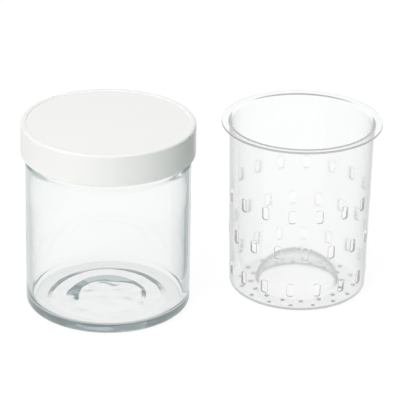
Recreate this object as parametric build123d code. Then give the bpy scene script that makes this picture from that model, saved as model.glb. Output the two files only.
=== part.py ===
from build123d import *
import os
from math import sqrt

# Yogurt jar set: a glass jar with a white screw lid and its sealing disc, and a
# slotted clear strainer that hangs in the jar's mouth and here stands beside it.
# Millimetres, +Z up, the table at z = 0. The jar's axis and the strainer's axis
# both lie on the X axis, and the origin is the middle of the set's footprint.

# ---------------------------------------------------------------- driving sizes

standing_gap = 15.4  # between the lid's edge and the flange of the strainer beside it

# Jar
jar_height = 97.7  # table to the top of the glass rim
body_radius = 42.8
glass_wall = 3.0
base_corner_radius = 3.5  # outside, between the wall and the base
floor_thickness = 4.2  # at the flat of the floor
floor_corner_radius = 3.0  # inside, between the floor and the wall
floor_dome_height = 0.6  # rise of the floor's middle above its flat
shoulder_step = 1.2  # how much narrower the neck is than the body
shoulder_height = 4.2  # length of the S-shaped shoulder, outside
inner_shoulder_height = 24.0  # the slower S inside, which ends level with the outer one
neck_height = 15.0  # from the top of the shoulder to the rim
rim_radius = 1.2  # rounding of the rim, inside and out
recess_radius = 31.5  # inner edge of the ring that the jar stands on
recess_depth = 0.65
recess_slope = 3.0  # width of the sloping edge of the recess
push_up_radius = 21.0  # the raised middle of the base
push_up_slope = 1.4  # width of its sloping edge
push_up_step = 1.2  # rise of its sloping edge
push_up_height = 0.6  # further rise of its domed middle

# Screw thread, single start and right-handed
thread_pitch = 5.0
thread_height = 1.4  # of the ridge on the neck
thread_crest = 1.2  # width of both ridges at their crests
flank_slope = 0.5  # axial widening of each flank per radial millimetre
thread_top_gap = 3.0  # from the rim down to the middle of the ridge's upper end
jar_thread_turns = 1.25
lid_thread_turns = 1.0
crest_play = 0.5  # jar ridge to the inside of the lid
neck_play = 0.6  # lid ridge to the neck
flank_gap = 0.35  # between the flanks, along the axis
thread_sink = 0.3  # how deep both ridges are rooted in their walls
thread_start_angle = -70.0

# Lid
lid_wall = 1.5
lid_top_thickness = 2.0
lid_height = 16.6
lid_edge_radius = 1.1  # outer top edge
lid_lip_radius = 0.5  # lower edge of the skirt
panel_rim_width = 2.7  # raised rim around the recessed top panel
panel_depth = 0.4
panel_edge_radius = 0.35
lug_count = 6
lug_angle = 14.0
lug_height = 0.7
lug_reach = 1.1  # how far each lug stands in from the skirt
lug_gap = 0.1  # below the sealing disc

# Sealing disc
disc_thickness = 1.0
disc_play = 0.6  # disc to the inside of the lid
disc_edge_radius = 0.25

# Strainer
strainer_wall = 1.2
strainer_play = 0.8  # strainer wall to the jar's mouth, just under the flange
strainer_draft = 1.75  # how much its radius shrinks from the flange to the base
strainer_corner_radius = 3.45  # outside, at the base
strainer_floor_gap = 1.4  # above the jar's floor when it hangs in the jar
flange_play = 0.3  # flange edge to the crest of the lid's ridge
flange_edge_radius = 0.4
mouth_rounding = 1.3  # between the flange's top face and the bore
flange_root_radius = 0.8  # under the flange, against the wall
dome_radius = 21.8
dome_height = 18.0  # top of the raised middle above the strainer's base
dome_foot_rounding = 1.3
dome_haunch_radius = 10.0  # of the dome's shoulder, which runs into its flatter crown
dome_clearance = 0.9  # strainer dome to the jar's floor dome

# Drain slots and drain holes
slots_per_row = 16
slot_row_heights = (12.5, 33.5, 54.5)  # middles of the three rows
slot_width = 3.6
slot_height = 7.0
slot_corner_radius = 1.0
hole_radius = 1.0
outer_hole_circle = 30.1
inner_hole_circle = 24.7
strainer_turn = 2.0  # the first slot of the lowest row, from +X towards +Y
cutter_margin = 1.0  # how far each slot and hole is cut past the wall it goes through

# ---------------------------------------------------------------- derived sizes

body_bore = body_radius - glass_wall
neck_radius = body_radius - shoulder_step
mouth_radius = neck_radius - glass_wall
neck_base_z = jar_height - neck_height
shoulder_base_z = neck_base_z - shoulder_height
inner_shoulder_base_z = neck_base_z - inner_shoulder_height

jar_ridge_crest = neck_radius + thread_height
lid_bore = jar_ridge_crest + crest_play
lid_radius = lid_bore + lid_wall
lid_ridge_crest = neck_radius + neck_play
lid_ridge_height = lid_bore - lid_ridge_crest
ridge_engagement = jar_ridge_crest - lid_ridge_crest
lid_ridge_drop = thread_crest + flank_slope * ridge_engagement + flank_gap
jar_ridge_rise = jar_thread_turns * thread_pitch
jar_ridge_base_z = jar_height - thread_top_gap - jar_ridge_rise
lid_ridge_base_z = jar_ridge_base_z - lid_ridge_drop

disc_radius = lid_bore - disc_play
disc_top_z = jar_height + disc_thickness
lid_top_z = disc_top_z + lid_top_thickness
lid_base_z = lid_top_z - lid_height
panel_radius = lid_radius - panel_rim_width

strainer_top_radius = mouth_radius - strainer_play
strainer_base_radius = strainer_top_radius - strainer_draft
flange_radius = lid_ridge_crest - flange_play
strainer_height = jar_height - floor_thickness - strainer_floor_gap + strainer_wall
floor_dome_radius = dome_radius - strainer_wall - dome_clearance

axis_spacing = lid_radius + standing_gap + flange_radius
set_length = lid_radius + axis_spacing + flange_radius
jar_x = lid_radius - set_length / 2
strainer_x = jar_x + axis_spacing


# ---------------------------------------------------------------- shared shapes


def ridge(inner_radius, outer_radius, inner_width, outer_width, turns, base_z):
    """A helical ridge of trapezoidal section about Z, rising turns * pitch from base_z."""
    path = Helix(thread_pitch, turns * thread_pitch, (inner_radius + outer_radius) / 2)
    start = Plane(origin=path @ 0, x_dir=(1, 0, 0), z_dir=path % 0)
    half_depth = (outer_radius - inner_radius) / 2
    section = start * Polygon(
        (-half_depth, -inner_width / 2),
        (half_depth, -outer_width / 2),
        (half_depth, outer_width / 2),
        (-half_depth, inner_width / 2),
        align=None,
    )
    solid = sweep(section, path=path, is_frenet=True)
    return Pos(0, 0, base_z) * Rot(0, 0, thread_start_angle) * solid


def cap_arc(radius, foot_z, height):
    """A shallow arc from (radius, foot_z) up to the axis at foot_z + height."""
    sphere_radius = (radius**2 + height**2) / (2 * height)
    middle = radius / 2
    middle_z = foot_z + height - sphere_radius + sqrt(sphere_radius**2 - middle**2)
    return ThreePointArc((radius, foot_z), (middle, middle_z), (0, foot_z + height))


# ---------------------------------------------------------------- jar


def shoulder_curve(radius, lower_z):
    """The S from a body radius up to the foot of the neck, as two equal arcs."""
    upper_z = neck_base_z
    halfway = (radius - shoulder_step / 2, (lower_z + upper_z) / 2)
    lower = TangentArc((radius, lower_z), halfway, tangent=(0, 1))
    upper = TangentArc(halfway, (radius - shoulder_step, upper_z), tangent=lower % 1)
    return lower, upper


def make_jar():
    floor_flat_radius = body_bore - floor_corner_radius
    base_flat_radius = body_radius - base_corner_radius
    recess_flat_radius = recess_radius - recess_slope
    push_up_flat_radius = push_up_radius - push_up_slope
    push_up_foot_z = recess_depth + push_up_step
    push_up_z = push_up_foot_z + push_up_height
    thread = ridge(
        neck_radius - thread_sink,
        jar_ridge_crest,
        thread_crest + 2 * flank_slope * (thread_height + thread_sink),
        thread_crest,
        jar_thread_turns,
        jar_ridge_base_z,
    )
    with BuildPart() as jar:
        with BuildSketch(Plane.XZ):
            with BuildLine():
                # Outside, from the base to the rim.
                Line((recess_radius, 0), (base_flat_radius, 0))
                RadiusArc(
                    (base_flat_radius, 0),
                    (body_radius, base_corner_radius),
                    -base_corner_radius,
                )
                Line((body_radius, base_corner_radius), (body_radius, shoulder_base_z))
                shoulder_curve(body_radius, shoulder_base_z)
                Line((neck_radius, neck_base_z), (neck_radius, jar_height - rim_radius))
                RadiusArc(
                    (neck_radius, jar_height - rim_radius),
                    (neck_radius - rim_radius, jar_height),
                    -rim_radius,
                )
                Line((neck_radius - rim_radius, jar_height), (mouth_radius + rim_radius, jar_height))
                RadiusArc(
                    (mouth_radius + rim_radius, jar_height),
                    (mouth_radius, jar_height - rim_radius),
                    -rim_radius,
                )
                # Inside, from the mouth down to the middle of the floor.
                Line((mouth_radius, jar_height - rim_radius), (mouth_radius, neck_base_z))
                shoulder_curve(body_bore, inner_shoulder_base_z)
                Line(
                    (body_bore, inner_shoulder_base_z),
                    (body_bore, floor_thickness + floor_corner_radius),
                )
                RadiusArc(
                    (body_bore, floor_thickness + floor_corner_radius),
                    (floor_flat_radius, floor_thickness),
                    floor_corner_radius,
                )
                Line((floor_flat_radius, floor_thickness), (floor_dome_radius, floor_thickness))
                cap_arc(floor_dome_radius, floor_thickness, floor_dome_height)
                # Underside, from the axis back to the standing ring.
                Line((0, floor_thickness + floor_dome_height), (0, push_up_z))
                cap_arc(push_up_flat_radius, push_up_foot_z, push_up_height)
                Line((push_up_flat_radius, push_up_foot_z), (push_up_radius, recess_depth))
                Line((push_up_radius, recess_depth), (recess_flat_radius, recess_depth))
                Line((recess_flat_radius, recess_depth), (recess_radius, 0))
            make_face()
        revolve(axis=Axis.Z)
        add(thread)
    return jar.part


# ---------------------------------------------------------------- lid


def make_lug():
    """One of the small lugs inside the skirt that keep the sealing disc in the lid."""
    top_z = jar_height - lug_gap
    profile = Polygon(
        (lid_bore + thread_sink, top_z),
        (lid_bore - lug_reach, top_z),
        (lid_bore, top_z - lug_height),
        (lid_bore + thread_sink, top_z - lug_height),
        align=None,
    )
    return revolve(Plane.XZ * profile, Axis.Z, lug_angle)


def make_lid():
    lip = lid_lip_radius
    edge = lid_edge_radius
    panel_edge = panel_edge_radius
    panel_z = lid_top_z - panel_depth
    lug = make_lug()
    thread = ridge(
        lid_ridge_crest,
        lid_bore + thread_sink,
        thread_crest,
        thread_crest + 2 * flank_slope * (lid_ridge_height + thread_sink),
        lid_thread_turns,
        lid_ridge_base_z,
    )
    with BuildPart() as lid:
        with BuildSketch(Plane.XZ):
            with BuildLine():
                # Inside, from the axis out and down the skirt.
                Line((0, disc_top_z), (lid_bore, disc_top_z))
                Line((lid_bore, disc_top_z), (lid_bore, lid_base_z + lip))
                RadiusArc((lid_bore, lid_base_z + lip), (lid_bore + lip, lid_base_z), -lip)
                Line((lid_bore + lip, lid_base_z), (lid_radius - lip, lid_base_z))
                RadiusArc((lid_radius - lip, lid_base_z), (lid_radius, lid_base_z + lip), -lip)
                # Outside, up the skirt and over the rim into the recessed panel.
                Line((lid_radius, lid_base_z + lip), (lid_radius, lid_top_z - edge))
                RadiusArc((lid_radius, lid_top_z - edge), (lid_radius - edge, lid_top_z), -edge)
                Line((lid_radius - edge, lid_top_z), (panel_radius + panel_edge, lid_top_z))
                RadiusArc(
                    (panel_radius + panel_edge, lid_top_z),
                    (panel_radius, lid_top_z - panel_edge),
                    -panel_edge,
                )
                Line((panel_radius, lid_top_z - panel_edge), (panel_radius, panel_z))
                Line((panel_radius, panel_z), (0, panel_z))
                Line((0, panel_z), (0, disc_top_z))
            make_face()
        revolve(axis=Axis.Z)
        for index in range(lug_count):
            add(Rot(0, 0, index * 360 / lug_count) * lug)
        add(thread)
    return lid.part


def make_sealing_disc():
    with BuildPart() as disc:
        with Locations((0, 0, jar_height)):
            Cylinder(disc_radius, disc_thickness, align=(Align.CENTER, Align.CENTER, Align.MIN))
        fillet(disc.edges().filter_by(GeomType.CIRCLE), disc_edge_radius)
    return disc.part


# ---------------------------------------------------------------- strainer


def dome_arcs(foot_z, inset):
    """Haunch and crown of the dome's top face, or of its underside at inset below it."""
    rise = dome_height - foot_z
    haunch = dome_haunch_radius
    haunch_x = dome_radius - haunch
    crown = (dome_radius**2 + rise**2 - 2 * dome_radius * haunch) / (2 * (rise - haunch))
    reach = (haunch - inset) / (crown - haunch)
    meeting = (haunch_x * (1 + reach), foot_z + (crown - rise) * reach)
    RadiusArc((dome_radius - inset, foot_z), meeting, inset - haunch)
    RadiusArc(meeting, (0, dome_height - inset), inset - crown)


def make_strainer_shell():
    """The strainer's wall, flange and domed floor, before the slots are cut."""
    wall = strainer_wall
    top_z = strainer_height
    flange_base_z = top_z - wall
    edge = flange_edge_radius
    root = flange_root_radius
    rounding = mouth_rounding
    bore = strainer_top_radius - wall
    corner = strainer_corner_radius
    corner_wall_radius = strainer_base_radius + strainer_draft * corner / top_z
    floor_edge = corner_wall_radius - corner
    foot_radius = dome_radius + dome_foot_rounding
    foot_z = wall + dome_foot_rounding
    with BuildPart() as shell:
        with BuildSketch(Plane.XZ):
            with BuildLine():
                # Outside: floor, corner, wall and flange.
                Line((foot_radius, 0), (floor_edge, 0))
                RadiusArc((floor_edge, 0), (corner_wall_radius, corner), -corner)
                Line((corner_wall_radius, corner), (strainer_top_radius, flange_base_z - root))
                RadiusArc(
                    (strainer_top_radius, flange_base_z - root),
                    (strainer_top_radius + root, flange_base_z),
                    root,
                )
                Line((strainer_top_radius + root, flange_base_z), (flange_radius - edge, flange_base_z))
                RadiusArc(
                    (flange_radius - edge, flange_base_z),
                    (flange_radius, flange_base_z + edge),
                    -edge,
                )
                Line((flange_radius, flange_base_z + edge), (flange_radius, top_z - edge))
                RadiusArc((flange_radius, top_z - edge), (flange_radius - edge, top_z), -edge)
                # Inside: mouth, wall, corner and floor.
                Line((flange_radius - edge, top_z), (bore + rounding, top_z))
                RadiusArc((bore + rounding, top_z), (bore, top_z - rounding), -rounding)
                Line((bore, top_z - rounding), (corner_wall_radius - wall, corner))
                RadiusArc(
                    (corner_wall_radius - wall, corner),
                    (floor_edge, wall),
                    corner - wall,
                )
                Line((floor_edge, wall), (foot_radius, wall))
                # Over the dome to the axis, and back down its hollow underside.
                RadiusArc((foot_radius, wall), (dome_radius, foot_z), dome_foot_rounding)
                dome_arcs(foot_z, 0)
                Line((0, dome_height), (0, dome_height - wall))
                dome_arcs(foot_z, wall)
                RadiusArc((dome_radius - wall, foot_z), (foot_radius, 0), -foot_z)
            make_face()
        revolve(axis=Axis.Z)
    return shell.part


def around(solid, count, first_angle):
    """Copies of a solid at equal steps round Z, the first at first_angle."""
    return [Rot(0, 0, first_angle + index * 360 / count) * solid for index in range(count)]


def make_strainer():
    half_step = 180 / slots_per_row
    cut_start = strainer_base_radius - strainer_wall - cutter_margin
    cut_end = strainer_top_radius + cutter_margin
    outline = RectangleRounded(slot_width, slot_height, slot_corner_radius)
    slot = extrude(Plane.YZ.offset(cut_start) * outline, amount=cut_end - cut_start, dir=(1, 0, 0))
    hole = Pos(0, 0, strainer_wall / 2) * Cylinder(hole_radius, strainer_wall + 2 * cutter_margin)
    cutters = []
    for row, row_z in enumerate(slot_row_heights):
        first_angle = strainer_turn + (row % 2) * half_step
        cutters += around(Pos(0, 0, row_z) * slot, slots_per_row, first_angle)
    cutters += around(Pos(outer_hole_circle, 0, 0) * hole, slots_per_row, strainer_turn)
    cutters += around(Pos(inner_hole_circle, 0, 0) * hole, slots_per_row, strainer_turn + half_step)
    return make_strainer_shell() - cutters


# ---------------------------------------------------------------- output


def main():
    os.makedirs("parts", exist_ok=True)
    beside_jar = Pos(strainer_x, 0, 0)
    at_jar = Pos(jar_x, 0, 0)
    export_step(at_jar * make_jar(), "parts/jar.step")
    export_step(at_jar * make_lid(), "parts/lid.step")
    export_step(at_jar * make_sealing_disc(), "parts/sealing_disc.step")
    export_step(beside_jar * make_strainer(), "parts/strainer.step")


main()
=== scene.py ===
import math

import bpy
import bmesh
from mathutils import Matrix, Vector, noise


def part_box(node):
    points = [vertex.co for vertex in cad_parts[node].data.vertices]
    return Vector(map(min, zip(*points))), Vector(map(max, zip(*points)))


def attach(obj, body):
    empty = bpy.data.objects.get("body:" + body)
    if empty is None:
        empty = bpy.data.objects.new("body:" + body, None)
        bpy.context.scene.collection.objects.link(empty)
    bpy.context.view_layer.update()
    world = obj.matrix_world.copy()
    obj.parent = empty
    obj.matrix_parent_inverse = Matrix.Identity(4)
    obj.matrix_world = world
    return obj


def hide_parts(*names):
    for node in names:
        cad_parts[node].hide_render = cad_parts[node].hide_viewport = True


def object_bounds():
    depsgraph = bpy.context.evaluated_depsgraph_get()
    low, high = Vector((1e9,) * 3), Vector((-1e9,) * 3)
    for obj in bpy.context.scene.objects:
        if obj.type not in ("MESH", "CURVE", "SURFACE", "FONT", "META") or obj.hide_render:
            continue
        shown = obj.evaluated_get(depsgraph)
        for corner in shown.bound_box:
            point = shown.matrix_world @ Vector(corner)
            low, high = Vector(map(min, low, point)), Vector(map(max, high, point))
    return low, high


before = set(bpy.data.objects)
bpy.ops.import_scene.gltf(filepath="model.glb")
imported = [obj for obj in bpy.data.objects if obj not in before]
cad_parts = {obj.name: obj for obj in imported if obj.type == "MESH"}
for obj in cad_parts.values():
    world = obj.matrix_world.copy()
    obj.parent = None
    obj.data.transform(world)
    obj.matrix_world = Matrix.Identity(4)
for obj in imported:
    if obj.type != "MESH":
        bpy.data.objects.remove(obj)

# Looks of the yogurt jar set: a pressed glass jar, its white screw lid with the soft
# disc inside, and the clear slotted strainer that stands beside it. Sizes are in
# millimetres and are turned to metres when a mesh is made.

cad_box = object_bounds()
MM = 0.001

# ---------------------------------------------------------------- places, from the frame


def node_box(node):
    """Lowest and highest corner of a CAD node, in millimetres."""
    low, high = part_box(node)
    return low / MM, high / MM


lid_low, lid_high = node_box("lid")
disc_low, disc_high = node_box("sealing_disc")
strainer_low, strainer_high = node_box("strainer")

jar_x = (lid_low.x + lid_high.x) / 2
strainer_x = (strainer_low.x + strainer_high.x) / 2
jar_height = node_box("jar")[1].z
lid_radius = (lid_high.x - lid_low.x) / 2
lid_base_z = lid_low.z
lid_top_z = lid_high.z
disc_radius = (disc_high.x - disc_low.x) / 2
disc_base_z = disc_low.z
disc_top_z = disc_high.z
strainer_height = strainer_high.z
flange_radius = (strainer_high.x - strainer_low.x) / 2

# ---------------------------------------------------------------- sizes of the jar

body_radius = 42.8
glass_wall = 3.0
base_corner_radius = 3.5
floor_thickness = 4.2
floor_corner_radius = 3.0
floor_dome_radius = 19.7
floor_dome_height = 0.6
shoulder_step = 1.2
shoulder_height = 4.2
inner_shoulder_height = 24.0
neck_height = 15.0
rim_radius = 1.2
recess_radius = 31.5
recess_depth = 0.65
recess_slope = 3.0
recess_rounding = 1.5
push_up_radius = 21.0
push_up_slope = 1.4
push_up_step = 1.2
push_up_height = 0.6
push_up_rounding = 0.6
glass_ripple = 0.10  # how far the inner wall wanders from true
ripple_spacing = 26.0
ripple_upright_share = 0.6  # heights count less than widths, so ripples are longer upright
base_wobble = 2.2  # how far the outlines of the hollow underside wander
base_wobble_waves = 1.6  # a higher number makes more and shorter waves round the outline
base_calm_radius = 12.0  # the outlines wander less and less within this radius
base_edge_margin = 1.0  # and stop wandering this far outside the hollow
base_edge_fade = 3.0  # over which distance they come to a stop
base_ripple = 0.30  # how far the surface of the hollow underside rises and falls
base_ripple_spacing = 8.0
base_ripple_fade = 5.0  # the ripple fades out over this distance inside the hollow's edge
step_spread = 6.0  # how far the raised middle's upper edge spreads inwards
step_spread_middle = 0.5  # its mean, as a share; noise makes it more or less round the edge
step_spread_waves = 1.3
underside_gap = 0.5  # points this far below the floor's top belong to the underside

thread_pitch = 5.0
thread_height = 1.4
jar_thread_turns = 1.25
lid_thread_turns = 1.0
thread_crest = 1.2
flank_slope = 0.5
thread_top_gap = 3.0
thread_start_angle = math.radians(-70.0)
thread_fade = math.radians(14.0)  # the ridge rises from the wall over this angle
thread_margin = 2.0  # from the thread down, and from the rim down, to the finely divided wall
thread_rim_gap = 1.5  # nothing is added to the neck nearer to the rim than this
lid_thread_drop = 1.95  # the lid's ridge runs this far below the jar's

# ---------------------------------------------------------------- sizes of the lid

lid_wall = 1.5
lid_ridge_reach = 1.3
lid_edge_radius = 1.1
lid_lip_radius = 0.5
panel_rim_width = 2.7
panel_depth = 0.4
panel_edge_radius = 0.35
panel_slope = 0.25
thread_ceiling_gap = 0.5  # nothing is added to the wall nearer to the ceiling than this
plain_wall_top = 0.6  # plain wall from the ceiling to the finely divided rows
plain_wall_base = 0.7  # and from those rows to the lip
lug_count = 6
lug_angle = math.radians(14.0)
lug_end_fade = math.radians(2.5)
lug_height = 0.7
lug_top_fade = 0.3
lug_base_fade = 0.6
lug_reach = 1.1
lug_gap = 0.1
disc_edge_radius = 0.25
disc_top_gap = 0.02  # so that the lid turns over the disc without cutting it

# ---------------------------------------------------------------- sizes of the strainer

strainer_wall = 1.2
strainer_top_radius = 37.8
strainer_draft = 1.75
strainer_corner_radius = 3.45
flange_edge_radius = 0.4
flange_root_radius = 0.8
mouth_rounding = 1.3
dome_radius = 21.8
dome_height = 18.0
dome_foot_rounding = 1.3
dome_haunch_radius = 10.0
slots_per_row = 16
slot_row_heights = (12.5, 33.5, 54.5)
slot_width = 3.6
slot_height = 7.0
slot_corner_radius = 1.0
slot_cell_reach = 5.5  # half the height of the patch of wall modelled around each slot
hole_radius = 1.0
outer_hole_circle = 30.1
inner_hole_circle = 24.7
hole_ring_radii = (23.35, 27.4, 32.4)  # edges of the two rings of floor around the holes
strainer_turn = math.radians(2.0)
opening_edge_radius = 0.25
opening_support = 0.35  # width of the flat strip around each opening's rounded edge

# ---------------------------------------------------------------- mesh density

jar_segments = 384
floor_segments = 96
arc_step = math.radians(7.5)
cap_steps = 10
row_gap = 4.0  # longest step between the rows of points on a plain wall
thread_row_gap = 0.14  # the same on a wall with a thread
band_row_gap = 2.5  # the same between the rows of slots
support_gap = 0.12  # from the end of a rounded corner to the next row of points
shortest_run = 4 * support_gap  # a run between corners that is shorter gets no such rows
cell_columns = 12  # divisions across the patch around a slot or a hole
cell_rows = 8
corner_steps = 3  # divisions of half a slot's corner
quarter_steps = 4  # divisions of the rounding round an opening, on each face
strainer_segments = slots_per_row * cell_columns
merge_distance = 0.002
touch_distance = 0.01  # a point this near to a face counts as lying on it

# ---------------------------------------------------------------- profiles


def arc_points(centre, radius, start, end):
    """Points along an arc in the (radius, height) plane, both ends included."""
    steps = max(2, math.ceil(abs(end - start) / arc_step))
    angles = [start + (end - start) * step / steps for step in range(steps + 1)]
    return [(centre[0] + radius * math.cos(a), centre[1] + radius * math.sin(a)) for a in angles]


def spaced(start, end, longest):
    """Points from start to end, both included, no further apart than longest."""
    steps = max(1, math.ceil(math.dist(start, end) / longest))
    return [
        (start[0] + (end[0] - start[0]) * step / steps, start[1] + (end[1] - start[1]) * step / steps)
        for step in range(steps + 1)
    ]


def rounded_corner(before, corner, after, radius):
    """Points of a fillet at a corner."""
    here = Vector(corner)
    back = (Vector(before) - here).normalized()
    ahead = (Vector(after) - here).normalized()
    half = back.angle(ahead) / 2
    reach = radius / math.tan(half)
    centre = here + (back + ahead).normalized() * radius / math.sin(half)
    first = here + back * reach - centre
    last = here + ahead * reach - centre
    start = math.atan2(first.y, first.x)
    turn = (math.atan2(last.y, last.x) - start + math.pi) % (2 * math.pi) - math.pi
    return arc_points(centre, radius, start, start + turn)


def straight_run(start, end, longest):
    """Points between two roundings, with a row of points close to each end of a long run."""
    length = math.dist(start, end)
    if length < shortest_run:
        return [start, end]
    share = support_gap / length
    near = tuple(a + (b - a) * share for a, b in zip(start, end))
    far = tuple(b + (a - b) * share for a, b in zip(start, end))
    return [start, *spaced(near, far, longest), end]


def rounded_path(corners):
    """Points along straight runs between (radius, height, fillet) corners, rounded there."""
    stretches = [[corners[0][:2]]]
    for before, corner, after in zip(corners, corners[1:], corners[2:]):
        if corner[2]:
            stretches.append(rounded_corner(before[:2], corner[:2], after[:2], corner[2]))
        else:
            stretches.append([corner[:2]])
    stretches.append([corners[-1][:2]])
    points = list(stretches[0])
    for stretch in stretches[1:]:
        points += straight_run(points[-1], stretch[0], row_gap)[1:]
        points += stretch[1:]
    return points


def cap_points(radius, foot_z, height):
    """A shallow spherical cap from its edge up to the axis."""
    sphere_radius = (radius**2 + height**2) / (2 * height)
    centre_z = foot_z + height - sphere_radius
    edge_angle = math.acos(radius / sphere_radius)
    rest = math.pi / 2 - edge_angle
    angles = [edge_angle + rest * step / cap_steps for step in range(cap_steps + 1)]
    return [(sphere_radius * math.cos(a), centre_z + sphere_radius * math.sin(a)) for a in angles]


def shoulder_corners(radius, height):
    """The two rounded corners of the S between the body and the neck."""
    slope = 2 * math.atan(shoulder_step / height)
    bend = (height**2 + shoulder_step**2) / (4 * shoulder_step)
    middle_z = jar_height - neck_height - height / 2
    offset = shoulder_step / 2 / math.tan(slope)
    return [
        (radius, middle_z - offset, bend),
        (radius - shoulder_step, middle_z + offset, bend),
    ]


# ---------------------------------------------------------------- meshes


def make_object(name, points, faces, centre_x):
    """A smooth-shaded closed object from points in millimetres about its own axis."""
    mesh = bpy.data.meshes.new(name)
    mesh.from_pydata([((x + centre_x) * MM, y * MM, z * MM) for x, y, z in points], [], faces)
    shape = bmesh.new()
    shape.from_mesh(mesh)
    bmesh.ops.remove_doubles(shape, verts=shape.verts, dist=merge_distance * MM)
    bmesh.ops.recalc_face_normals(shape, faces=shape.faces)
    for face in shape.faces:
        face.smooth = True
    shape.to_mesh(mesh)
    shape.free()
    piece = bpy.data.objects.new(name, mesh)
    bpy.context.scene.collection.objects.link(piece)
    return piece


def ring_faces(rings, count):
    """Faces between neighbouring rings, with count points in each ring."""
    faces = []
    for start in range(0, (rings - 1) * count, count):
        next_start = start + count
        for index in range(count):
            ahead = (index + 1) % count
            faces.append((start + index, start + ahead, next_start + ahead, next_start + index))
    return faces


def revolved(rings, segments, first_angle=0.0, shape=None):
    """Points and faces of rings about the axis, each point moved by shape(angle, radius, z)."""
    points = []
    for radius, z in rings:
        for index in range(segments):
            angle = first_angle + index * 2 * math.pi / segments
            r, h = shape(angle, radius, z) if shape else (radius, z)
            points.append((r * math.cos(angle), r * math.sin(angle), h))
    return points, ring_faces(len(rings), segments)


def ridge_rise(angle, z, base_z, turns):
    """Height, 0 to 1, of a single-start right-hand ridge at an angle and a height."""
    root_half = thread_crest / 2 + flank_slope * thread_height
    rise = 0.0
    lap = (angle - thread_start_angle) % (2 * math.pi)
    while lap <= turns * 2 * math.pi + thread_fade:
        middle_z = base_z + lap / (2 * math.pi) * thread_pitch
        across = (root_half - abs(z - middle_z)) / (root_half - thread_crest / 2)
        left = turns * 2 * math.pi - lap
        run = min(lap, left) / thread_fade
        rise = max(rise, eased(across) * eased(run))
        lap += 2 * math.pi
    return rise


def eased(value):
    """0 below 0, 1 above 1, with a smooth step between."""
    value = min(max(value, 0.0), 1.0)
    return value * value * (3 - 2 * value)


# ---------------------------------------------------------------- jar


def jar_rings():
    """The jar's section, from the middle of its underside round to the middle of its floor."""
    body_bore = body_radius - glass_wall
    neck_radius = body_radius - shoulder_step
    mouth_radius = neck_radius - glass_wall
    thread_low = jar_height - thread_top_gap - jar_thread_turns * thread_pitch - thread_margin
    thread_high = jar_height - thread_margin
    cap_radius = push_up_radius - push_up_slope
    cap_z = recess_depth + push_up_step
    underside = cap_points(cap_radius, cap_z, push_up_height)[::-1]
    outside = rounded_path(
        [
            (cap_radius, cap_z, 0),
            (push_up_radius, recess_depth, push_up_rounding),
            (recess_radius - recess_slope, recess_depth, recess_rounding),
            (recess_radius, 0, recess_rounding),
            (body_radius, 0, base_corner_radius),
            *shoulder_corners(body_radius, shoulder_height),
            (neck_radius, thread_low, 0),
        ]
    )
    neck = spaced((neck_radius, thread_low), (neck_radius, thread_high), thread_row_gap)
    inside = rounded_path(
        [
            (neck_radius, thread_high, 0),
            (neck_radius, jar_height, rim_radius),
            (mouth_radius, jar_height, rim_radius),
            *shoulder_corners(body_bore, inner_shoulder_height)[::-1],
            (body_bore, floor_thickness, floor_corner_radius),
            (floor_dome_radius, floor_thickness, 0),
        ]
    )
    floor = cap_points(floor_dome_radius, floor_thickness, floor_dome_height)
    return underside[:-1] + outside[:-1] + neck[:-1] + inside[:-1] + floor


def underside_shape(angle, radius, z):
    """Moves a point of the hollow underside, which is uneven in pressed glass."""
    spread = Vector((math.cos(angle), math.sin(angle), 0))
    from_edge = recess_radius + base_edge_margin - radius
    edge = eased(radius / base_calm_radius) * eased(from_edge / base_edge_fade)
    r = radius + base_wobble * noise.noise(spread * base_wobble_waves) * edge
    if z > recess_depth + push_up_step / 2:
        share = step_spread_middle + noise.noise(spread * step_spread_waves)
        r -= step_spread * share * radius / push_up_radius
    rise = base_ripple * noise.noise(spread * radius / base_ripple_spacing)
    return r, z + rise * eased((recess_radius - radius) / base_ripple_fade)


def inside_shape(angle, radius, z):
    """Moves a point of the inner wall or the floor by the slow ripples of pressed glass."""
    across = (radius * math.cos(angle), radius * math.sin(angle))
    spot = Vector((*across, z * ripple_upright_share)) / ripple_spacing
    wander = glass_ripple * noise.noise(spot)
    if z > floor_thickness + floor_corner_radius:
        return radius + wander, z
    return radius, z + wander


def jar_shape(angle, radius, z):
    """Adds the thread to the neck's outside and the unevenness of pressed glass."""
    neck_radius = body_radius - shoulder_step
    base_z = jar_height - thread_top_gap - jar_thread_turns * thread_pitch
    if abs(radius - neck_radius) < touch_distance and z < jar_height - thread_rim_gap:
        return radius + thread_height * ridge_rise(angle, z, base_z, jar_thread_turns), z
    if z < floor_thickness - underside_gap and radius < recess_radius + base_edge_margin:
        return underside_shape(angle, radius, z)
    inner = radius < body_radius - glass_wall + touch_distance
    if inner and floor_thickness - touch_distance < z < jar_height - rim_radius:
        return inside_shape(angle, radius, z)
    return radius, z


def make_jar():
    points, faces = revolved(jar_rings(), jar_segments, shape=jar_shape)
    return make_object("glass_jar", points, faces, jar_x)


# ---------------------------------------------------------------- lid and sealing disc


def lid_rings():
    """The lid's section, from the middle of its ceiling round to the middle of its top."""
    bore = lid_radius - lid_wall
    panel_radius = lid_radius - panel_rim_width
    panel_z = lid_top_z - panel_depth
    thread_high = disc_top_z - plain_wall_top
    thread_low = lid_base_z + plain_wall_base
    ceiling = rounded_path(
        [(0, disc_top_z, 0), (bore, disc_top_z, panel_edge_radius), (bore, thread_high, 0)]
    )
    thread_wall = spaced((bore, thread_high), (bore, thread_low), thread_row_gap)
    outside = rounded_path(
        [
            (bore, thread_low, 0),
            (bore, lid_base_z, lid_lip_radius),
            (lid_radius, lid_base_z, lid_lip_radius),
            (lid_radius, lid_top_z, lid_edge_radius),
            (panel_radius, lid_top_z, panel_edge_radius),
            (panel_radius - panel_slope, panel_z, panel_edge_radius / 2),
            (0, panel_z, 0),
        ]
    )
    return ceiling[:-1] + thread_wall[:-1] + outside


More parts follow.
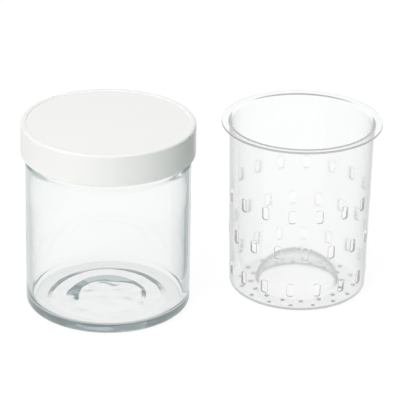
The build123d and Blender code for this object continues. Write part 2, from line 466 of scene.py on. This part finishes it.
def lug_rise(angle, z):
    """How far the nearest lug stands in from the skirt, 0 to 1."""
    pitch = 2 * math.pi / lug_count
    nearest = abs((angle - lug_angle / 2 + pitch / 2) % pitch - pitch / 2)
    along = (lug_angle / 2 - nearest) / lug_end_fade
    top_z = jar_height - lug_gap
    below_top = (top_z + lug_top_fade / 2 - z) / lug_top_fade
    above_base = (z - top_z + lug_height + lug_base_fade / 2) / lug_base_fade
    return eased(along) * eased(min(below_top, above_base))


def lid_shape(angle, radius, z):
    """Adds the inner thread and the lugs to the inside of the skirt."""
    bore = lid_radius - lid_wall
    if abs(radius - bore) > touch_distance or z > disc_top_z - thread_ceiling_gap:
        return radius, z
    base_z = jar_height - thread_top_gap - jar_thread_turns * thread_pitch - lid_thread_drop
    thread = lid_ridge_reach * ridge_rise(angle, z, base_z, lid_thread_turns)
    return radius - max(thread, lug_reach * lug_rise(angle, z)), z


def make_lid():
    points, faces = revolved(lid_rings(), jar_segments, shape=lid_shape)
    return make_object("screw_lid", points, faces, jar_x)


def make_sealing_disc():
    rings = rounded_path(
        [
            (0, disc_base_z, 0),
            (disc_radius, disc_base_z, disc_edge_radius),
            (disc_radius, disc_top_z - disc_top_gap, disc_edge_radius),
            (0, disc_top_z - disc_top_gap, 0),
        ]
    )
    points, faces = revolved(rings, jar_segments)
    return make_object("soft_disc", points, faces, jar_x)


# ---------------------------------------------------------------- strainer


def wall_radius(z, depth):
    """Radius of the strainer's tapered wall at a height, at a depth in from its outer face."""
    return strainer_top_radius - strainer_draft * (1 - z / strainer_height) - depth


def rectangle_ring(half_width, half_height, corner):
    """A rounded rectangle, from the middle of its lower left corner, matched to a patch's edge."""
    step_angle = math.pi / 4
    ring = []
    for side in range(4):
        wide = side % 2 == 0
        half_side, half_depth = (half_width, half_height) if wide else (half_height, half_width)
        straight_steps = (cell_columns if wide else cell_rows) - 2 * corner_steps
        flat = half_side - corner
        corner_z = -half_depth + corner
        places = []
        for step in range(corner_steps):
            angle = -math.pi / 2 - step_angle + step / corner_steps * step_angle
            places.append((-flat + corner * math.cos(angle), corner_z + corner * math.sin(angle)))
        for step in range(straight_steps + 1):
            places.append((-flat + 2 * flat * step / straight_steps, -half_depth))
        for step in range(1, corner_steps):
            angle = -math.pi / 2 + step / corner_steps * step_angle
            places.append((flat + corner * math.cos(angle), corner_z + corner * math.sin(angle)))
        turn = Matrix.Rotation(side * math.pi / 2, 2)
        ring += [tuple(turn @ Vector(place)) for place in places]
    return ring


def circle_ring(radius):
    """A circle, from its lower left, matched to a patch's edge."""
    ring = []
    for side in range(4):
        steps = cell_columns if side % 2 == 0 else cell_rows
        for step in range(steps):
            angle = math.radians(-135 + 90 * (side + step / steps))
            ring.append((radius * math.cos(angle), radius * math.sin(angle)))
    return ring


def patch_edge(half_width, low, high):
    """The rectangular edge of a patch, from its lower left corner."""
    corners = [(-half_width, low), (half_width, low), (half_width, high), (-half_width, high)]
    ring = []
    for side in range(4):
        (u, v), (next_u, next_v) = corners[side], corners[(side + 1) % 4]
        steps = cell_columns if side % 2 == 0 else cell_rows
        for step in range(steps):
            share = step / steps
            ring.append((u + (next_u - u) * share, v + (next_v - v) * share))
    return ring


def opening_rings(outline, edge):
    """Rings and their depths, from a patch's edge on one face through the opening to the other."""
    radius = opening_edge_radius
    lip = outline(radius + opening_support)
    middle = [((a[0] + b[0]) / 2, (a[1] + b[1]) / 2) for a, b in zip(edge, lip)]
    rings = [(edge, 0), (middle, 0), (lip, 0)]
    quarter = [math.pi / 2 * step / quarter_steps for step in range(quarter_steps + 1)]
    rings += [(outline(radius * (1 - math.sin(a))), radius * (1 - math.cos(a))) for a in quarter]
    return rings + [(ring, strainer_wall - depth) for ring, depth in rings[::-1]]


def opening_patch(outline, edge, place):
    """Points and faces of one opening and the patch of both skins around it."""
    rings = opening_rings(outline, edge)
    points = [place(u, v, depth) for ring, depth in rings for u, v in ring]
    return points, ring_faces(len(rings), len(edge))


def slot_outline(offset):
    half_width = slot_width / 2 + offset
    half_height = slot_height / 2 + offset
    return rectangle_ring(half_width, half_height, slot_corner_radius + offset)


def hole_outline(offset):
    return circle_ring(hole_radius + offset)


def slot_patches():
    """The rows of slots in the strainer's wall, every other row set off by half a slot's share."""
    reference = strainer_top_radius
    edge = patch_edge(reference * math.pi / slots_per_row, -slot_cell_reach, slot_cell_reach)
    for row, row_z in enumerate(slot_row_heights):
        for index in range(slots_per_row):
            middle = strainer_turn + (index + row % 2 / 2) * 2 * math.pi / slots_per_row

            def place(u, v, depth):
                angle = middle + u / reference
                radius = wall_radius(row_z + v, depth)
                return radius * math.cos(angle), radius * math.sin(angle), row_z + v

            yield opening_patch(slot_outline, edge, place)


def hole_patches():
    """The two rings of drain holes in the strainer's floor, the inner set off by half a share."""
    rings = zip((inner_hole_circle, outer_hole_circle), hole_ring_radii, hole_ring_radii[1:])
    for ring, (circle, inner, outer) in enumerate(rings):
        edge = patch_edge(circle * math.pi / slots_per_row, inner - circle, outer - circle)
        for index in range(slots_per_row):
            middle = strainer_turn + (index + (1 - ring) / 2) * 2 * math.pi / slots_per_row

            def place(u, v, depth):
                angle = middle + u / circle
                radius = circle + v
                return radius * math.cos(angle), radius * math.sin(angle), depth

            yield opening_patch(hole_outline, edge, place)


def dome_rings(depth):
    """The raised middle of the floor, from the axis out to the ring of holes."""
    foot_z = strainer_wall + dome_foot_rounding
    rise = dome_height - foot_z
    haunch = dome_haunch_radius
    haunch_x = dome_radius - haunch
    crown = (dome_radius**2 + rise**2 - 2 * dome_radius * haunch) / (2 * (rise - haunch))
    crown_z = dome_height - crown
    meeting_angle = math.atan2(foot_z - crown_z, haunch_x)
    top = arc_points((0, crown_z), crown - depth, math.pi / 2, meeting_angle)
    side = arc_points((haunch_x, foot_z), haunch - depth, meeting_angle, 0)
    foot_radius = dome_radius + dome_foot_rounding
    floor_z = strainer_wall - depth
    foot = arc_points((foot_radius, foot_z), dome_foot_rounding + depth, math.pi, 1.5 * math.pi)
    return top[:-1] + side[:-1] + foot + [(hole_ring_radii[0], floor_z)]


def strainer_bands():
    """The parts of the strainer's section that have no openings, each a row of rings."""
    corner = strainer_corner_radius
    lowest = slot_row_heights[0] - slot_cell_reach
    highest = slot_row_heights[-1] + slot_cell_reach
    yield dome_rings(0)
    yield dome_rings(strainer_wall)
    for depth in (0, strainer_wall):
        yield rounded_path(
            [
                (hole_ring_radii[-1], depth, 0),
                (wall_radius(0, depth), depth, corner - depth),
                (wall_radius(lowest, depth), lowest, 0),
            ]
        )
        for below, above in zip(slot_row_heights, slot_row_heights[1:]):
            low = below + slot_cell_reach
            high = above - slot_cell_reach
            ends = [(wall_radius(z, depth), z) for z in (low, high)]
            yield spaced(*ends, band_row_gap)
    flange_base_z = strainer_height - strainer_wall
    yield rounded_path(
        [
            (wall_radius(highest, 0), highest, 0),
            (wall_radius(flange_base_z, 0), flange_base_z, flange_root_radius),
            (flange_radius, flange_base_z, flange_edge_radius),
            (flange_radius, strainer_height, flange_edge_radius),
            (wall_radius(strainer_height, strainer_wall), strainer_height, mouth_rounding),
            (wall_radius(highest, strainer_wall), highest, 0),
        ]
    )


def make_strainer():
    points = []
    faces = []
    parts = [revolved(rings, strainer_segments, strainer_turn) for rings in strainer_bands()]
    parts += list(slot_patches()) + list(hole_patches())
    for part_points, part_faces in parts:
        first = len(points)
        points += part_points
        faces += [tuple(first + index for index in face) for face in part_faces]
    return make_object("draining_strainer", points, faces, strainer_x)


# ---------------------------------------------------------------- materials


white = (1.0, 1.0, 1.0, 1.0)
noise_range = (0.3, 0.7)  # the middle range of a noise texture
painted_glow_bounces = 2.5  # where a ray has bounced more often than this, clear walls give off a painted glow in place of the light of thick edges

glass_ior = 1.52
glass_smears = (45.0, 4.0)  # scale and detail of a noise texture, here and below
glass_roughness = (0.0, 0.02)
glass_waves = (90.0, 1.0)
glass_wave_depth = 0.00003  # bump depths are in metres
glass_tint = (0.80, 0.90, 0.87, 1.0)
glass_tint_density = 14.0
# painted glow: the glass gives off this faint tinted light where rays bounced often inside it
glass_painted_glow_level = 0.09
glass_painted_glow_colour = (0.86, 0.97, 0.98, 1.0)
stipple_height = 0.8  # the rim that the jar stands on is stippled, less and less up to here
stipple_roughness = 0.2

plastic_ior = 1.49
plastic_smears = (60.0, 4.0)
plastic_roughness = (0.07, 0.11)
plastic_flow = (70.0, 1.0)
plastic_flow_depth = 0.00002
# painted glow: the clear plastic gives off this faint tinted light where rays bounced often inside it
plastic_painted_glow_level = 0.15
plastic_painted_glow_colour = (1.0, 0.96, 0.93, 1.0)

lid_tone = (30.0, 3.0)
lid_dark = (0.862, 0.864, 0.846, 1.0)
lid_pale = (0.884, 0.886, 0.868, 1.0)
lid_polish = (180.0, 5.0)
lid_roughness = (0.30, 0.42)
lid_coat = 0.5
lid_coat_roughness = 0.12
lid_grain = (2600.0, 2.0)
lid_grain_depth = 0.00001

disc_tone = (80.0, 3.0)
disc_dark = (0.72, 0.72, 0.68, 1.0)
disc_pale = (0.80, 0.80, 0.76, 1.0)
disc_roughness = 0.6
disc_grain = (1800.0, 3.0)
disc_grain_depth = 0.00003


def new_material(name):
    """A material with its node tree and its shader."""
    material = bpy.data.materials.new(name)
    material.use_nodes = True
    tree = material.node_tree
    shader = tree.nodes["Principled BSDF"]
    return material, tree, shader


def add_math(tree, operation, first, second):
    """A math node; each input is a socket or a number."""
    node = tree.nodes.new("ShaderNodeMath")
    node.operation = operation
    for socket, value in zip(node.inputs, (first, second)):
        if isinstance(value, (int, float)):
            socket.default_value = value
        else:
            tree.links.new(value, socket)
    return node.outputs[0]


def add_colour_mix(tree, share, first, second):
    """A mix of two colours; a mix node's colours are its inputs 6 and 7 and its output 2."""
    node = tree.nodes.new("ShaderNodeMix")
    node.data_type = "RGBA"
    node.inputs[6].default_value = first
    node.inputs[7].default_value = second
    tree.links.new(share, node.inputs[0])
    return node.outputs[2]


def add_noise(tree, scale_and_detail):
    """A noise texture in object space."""
    place = tree.nodes.new("ShaderNodeTexCoord")
    texture = tree.nodes.new("ShaderNodeTexNoise")
    for name, value in zip(("Scale", "Detail"), scale_and_detail):
        texture.inputs[name].default_value = value
    tree.links.new(place.outputs["Object"], texture.inputs["Vector"])
    return texture.outputs["Fac"]


def add_range(tree, source, ends):
    """Maps a texture from its middle range to the range between two ends."""
    node = tree.nodes.new("ShaderNodeMapRange")
    names = ("From Min", "From Max", "To Min", "To Max")
    for name, value in zip(names, (*noise_range, *ends)):
        node.inputs[name].default_value = value
    tree.links.new(source, node.inputs["Value"])
    return node.outputs["Result"]


def add_stipple(tree):
    """Roughness of the glass near the table, which fades out up to stipple_height."""
    place = tree.nodes.new("ShaderNodeTexCoord")
    split = tree.nodes.new("ShaderNodeSeparateXYZ")
    tree.links.new(place.outputs["Object"], split.inputs[0])
    node = tree.nodes.new("ShaderNodeMapRange")
    node.inputs["From Max"].default_value = stipple_height * MM
    node.inputs["To Min"].default_value = stipple_roughness
    node.inputs["To Max"].default_value = 0.0
    tree.links.new(split.outputs["Z"], node.inputs["Value"])
    return node.outputs["Result"]


def add_bump(tree, shader, height, distance):
    """Bump on the shader's normal, with its depth in metres."""
    node = tree.nodes.new("ShaderNodeBump")
    node.inputs["Distance"].default_value = distance
    node.inputs["Strength"].default_value = 1.0
    tree.links.new(height, node.inputs["Height"])
    tree.links.new(node.outputs["Normal"], shader.inputs["Normal"])


def add_painted_glow(tree, shader, level, colour):
    """Painted glow: clear walls give off a faint tinted light where a ray has bounced often inside
    them, in place of the light of their thick edges.
    """
    path = tree.nodes.new("ShaderNodeLightPath")
    # mask of the painted glow: rays that bounced often inside the wall
    painted_glow_mask = add_math(tree, "GREATER_THAN", path.outputs["Glossy Depth"], painted_glow_bounces)
    strength = add_math(tree, "MULTIPLY", painted_glow_mask, level)
    tree.links.new(strength, shader.inputs["Emission Strength"])
    shader.inputs["Emission Color"].default_value = colour


def glass_material():
    material, tree, shader = new_material("pressed_glass")
    shader.inputs["Base Color"].default_value = white
    shader.inputs["Transmission Weight"].default_value = 1.0
    shader.inputs["IOR"].default_value = glass_ior
    polish = add_range(tree, add_noise(tree, glass_smears), glass_roughness)
    roughness = add_math(tree, "MAXIMUM", polish, add_stipple(tree))
    tree.links.new(roughness, shader.inputs["Roughness"])
    # painted glow on the glass, which is no lamp
    add_painted_glow(tree, shader, glass_painted_glow_level, glass_painted_glow_colour)
    add_bump(tree, shader, add_noise(tree, glass_waves), glass_wave_depth)
    tint = tree.nodes.new("ShaderNodeVolumeAbsorption")
    tint.inputs["Color"].default_value = glass_tint
    tint.inputs["Density"].default_value = glass_tint_density
    tree.links.new(tint.outputs["Volume"], tree.nodes["Material Output"].inputs["Volume"])
    return material


def clear_plastic_material():
    material, tree, shader = new_material("clear_moulded_plastic")
    shader.inputs["Base Color"].default_value = white
    shader.inputs["Transmission Weight"].default_value = 1.0
    shader.inputs["IOR"].default_value = plastic_ior
    # painted glow on the clear plastic, which is no lamp
    add_painted_glow(tree, shader, plastic_painted_glow_level, plastic_painted_glow_colour)
    haze = add_range(tree, add_noise(tree, plastic_smears), plastic_roughness)
    tree.links.new(haze, shader.inputs["Roughness"])
    add_bump(tree, shader, add_noise(tree, plastic_flow), plastic_flow_depth)
    return material


def lid_material():
    material, tree, shader = new_material("white_moulded_plastic")
    colour = add_colour_mix(tree, add_noise(tree, lid_tone), lid_dark, lid_pale)
    tree.links.new(colour, shader.inputs["Base Color"])
    polish = add_range(tree, add_noise(tree, lid_polish), lid_roughness)
    tree.links.new(polish, shader.inputs["Roughness"])
    shader.inputs["Coat Weight"].default_value = lid_coat
    shader.inputs["Coat Roughness"].default_value = lid_coat_roughness
    add_bump(tree, shader, add_noise(tree, lid_grain), lid_grain_depth)
    return material


def disc_material():
    material, tree, shader = new_material("soft_seal")
    colour = add_colour_mix(tree, add_noise(tree, disc_tone), disc_dark, disc_pale)
    tree.links.new(colour, shader.inputs["Base Color"])
    shader.inputs["Roughness"].default_value = disc_roughness
    add_bump(tree, shader, add_noise(tree, disc_grain), disc_grain_depth)
    return material


# ---------------------------------------------------------------- studio

# sizes and places of the studio are in metres
floor_reach = 0.75
floor_rings = (0, 0.25, 0.5, 1)  # shares of its reach
floor_drop = 0.0001  # keeps the floor clear of the faces that stand on it
floor_glow = 0.88  # share of the floor that is plain white; the rest takes the shadow
floor_colour = (0.85, 0.91, 0.885, 1.0)
floor_roughness = 0.9
white_level = 1.06
bounce_keep = 0.56  # share of the room's white that each bounce in clear material leaves
most_bounces = 2.0  # further bounces take no more of it
bounce_colour = (0.0, 0.06, 0.07, 1.0)  # what takes the place of the white
ambient_level = 0.19
ambient_colour = (0.84, 1.0, 0.95, 1.0)
key_direction = Vector((-0.558, -0.600, 0.574))
key_size = 1.1
key_level = 0.685  # brightness that the lamp alone gives a white face turned to it
key_colour = (1.0, 0.945, 0.96)
top_direction = Vector((0.0, 0.10, 0.995))
top_size = 1.5
top_level = 0.50
top_colour = (1.0, 0.975, 0.98)
lamp_distance = 1.8
camera_azimuth = math.radians(-12.9)
camera_elevation = math.radians(24.44)
camera_roll = math.radians(0.99)
camera_distance = 1.3948
camera_aim = Vector((0.0012, 0.0095, -0.0023))  # from the middle of the set
camera_lens = 238.95  # the lens and the sensor are in millimetres
sensor_width = 36.0


def add_room_white(tree):
    """The room's white, dimmer to rays that bounced in clear material, and where it is seen."""
    path = tree.nodes.new("ShaderNodeLightPath")
    inside = add_math(tree, "MINIMUM", path.outputs["Transmission Depth"], 1.0)
    bounces = add_math(tree, "MULTIPLY", path.outputs["Glossy Depth"], inside)
    bounces = add_math(tree, "MINIMUM", bounces, most_bounces)
    kept = add_math(tree, "POWER", bounce_keep, bounces)
    colour = add_colour_mix(tree, kept, bounce_colour, white)
    glow = tree.nodes.new("ShaderNodeEmission" if is_surface(tree) else "ShaderNodeBackground")
    glow.inputs["Strength"].default_value = white_level
    tree.links.new(colour, glow.inputs["Color"])
    mirrored = add_math(tree, "MAXIMUM", path.outputs["Is Camera Ray"], path.outputs["Is Glossy Ray"])
    seen = add_math(tree, "MAXIMUM", mirrored, path.outputs["Is Transmission Ray"])
    return glow.outputs[0], seen


def is_surface(tree):
    return any(node.type == "OUTPUT_MATERIAL" for node in tree.nodes)


def floor_material():
    material, tree, shader = new_material("studio_floor")
    shader.inputs["Base Color"].default_value = floor_colour
    shader.inputs["Roughness"].default_value = floor_roughness
    shader.inputs["Specular IOR Level"].default_value = 0.0
    room, seen = add_room_white(tree)
    share = add_math(tree, "MULTIPLY", seen, floor_glow)
    mix = tree.nodes.new("ShaderNodeMixShader")
    tree.links.new(share, mix.inputs[0])
    tree.links.new(shader.outputs["BSDF"], mix.inputs[1])
    tree.links.new(room, mix.inputs[2])
    tree.links.new(mix.outputs[0], tree.nodes["Material Output"].inputs["Surface"])
    return material


def add_floor():
    """A round pale floor, a little below the standing faces."""
    rings = [(floor_reach / MM * share, 0) for share in floor_rings]
    points, faces = revolved(rings, floor_segments)
    floor = make_object("studio_floor", points, faces, 0)
    floor.location.z = -floor_drop
    floor.data.materials.append(floor_material())


def add_lamp(name, direction, size, level, colour):
    """A square lamp that gives a white face turned to it a brightness of level."""
    data = bpy.data.lights.new(name, "AREA")
    data.size = size
    data.energy = level * math.pi**2 * lamp_distance**2
    data.color = colour
    lamp = bpy.data.objects.new(name, data)
    bpy.context.scene.collection.objects.link(lamp)
    lamp.location = direction.normalized() * lamp_distance
    lamp.rotation_euler = direction.to_track_quat("Z", "Y").to_euler()
    lamp.visible_camera = False
    lamp.visible_transmission = False
    lamp.visible_glossy = False


def add_lights():
    add_lamp("key_light", key_direction, key_size, key_level, key_colour)
    add_lamp("top_light", top_direction, top_size, top_level, top_colour)


def add_world():
    """A plain white room, dim as a light source because the lamps do that work."""
    world = bpy.data.worlds.new("studio")
    bpy.context.scene.world = world
    world.use_nodes = True
    tree = world.node_tree
    soft = tree.nodes["Background"]
    soft.inputs["Color"].default_value = ambient_colour
    soft.inputs["Strength"].default_value = ambient_level
    room, seen = add_room_white(tree)
    mix = tree.nodes.new("ShaderNodeMixShader")
    tree.links.new(seen, mix.inputs[0])
    tree.links.new(soft.outputs[0], mix.inputs[1])
    tree.links.new(room, mix.inputs[2])
    tree.links.new(mix.outputs[0], tree.nodes["World Output"].inputs["Surface"])


def add_camera():
    low, high = cad_box
    aim = (low + high) / 2 + camera_aim
    back = Vector(
        (
            math.sin(camera_azimuth) * math.cos(camera_elevation),
            -math.cos(camera_azimuth) * math.cos(camera_elevation),
            math.sin(camera_elevation),
        )
    )
    data = bpy.data.cameras.new("camera")
    data.lens = camera_lens
    data.sensor_width = sensor_width
    camera = bpy.data.objects.new("camera", data)
    bpy.context.scene.collection.objects.link(camera)
    facing = back.to_track_quat("Z", "Y").to_matrix() @ Matrix.Rotation(camera_roll, 3, "Z")
    camera.matrix_world = Matrix.Translation(aim + back * camera_distance) @ facing.to_4x4()
    bpy.context.scene.camera = camera


# ---------------------------------------------------------------- the scene


def add_piece(piece, node, body, material):
    """Puts a finished piece in the place of its CAD node."""
    piece.data.materials.append(material)
    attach(piece, body)
    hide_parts(node)


add_piece(make_jar(), "jar", "jar", glass_material())
add_piece(make_lid(), "lid", "lid", lid_material())
add_piece(make_sealing_disc(), "sealing_disc", "disc", disc_material())
add_piece(make_strainer(), "strainer", "strainer", clear_plastic_material())
add_floor()
add_lights()
add_world()
add_camera()
bpy.context.scene.view_settings.view_transform = "Standard"
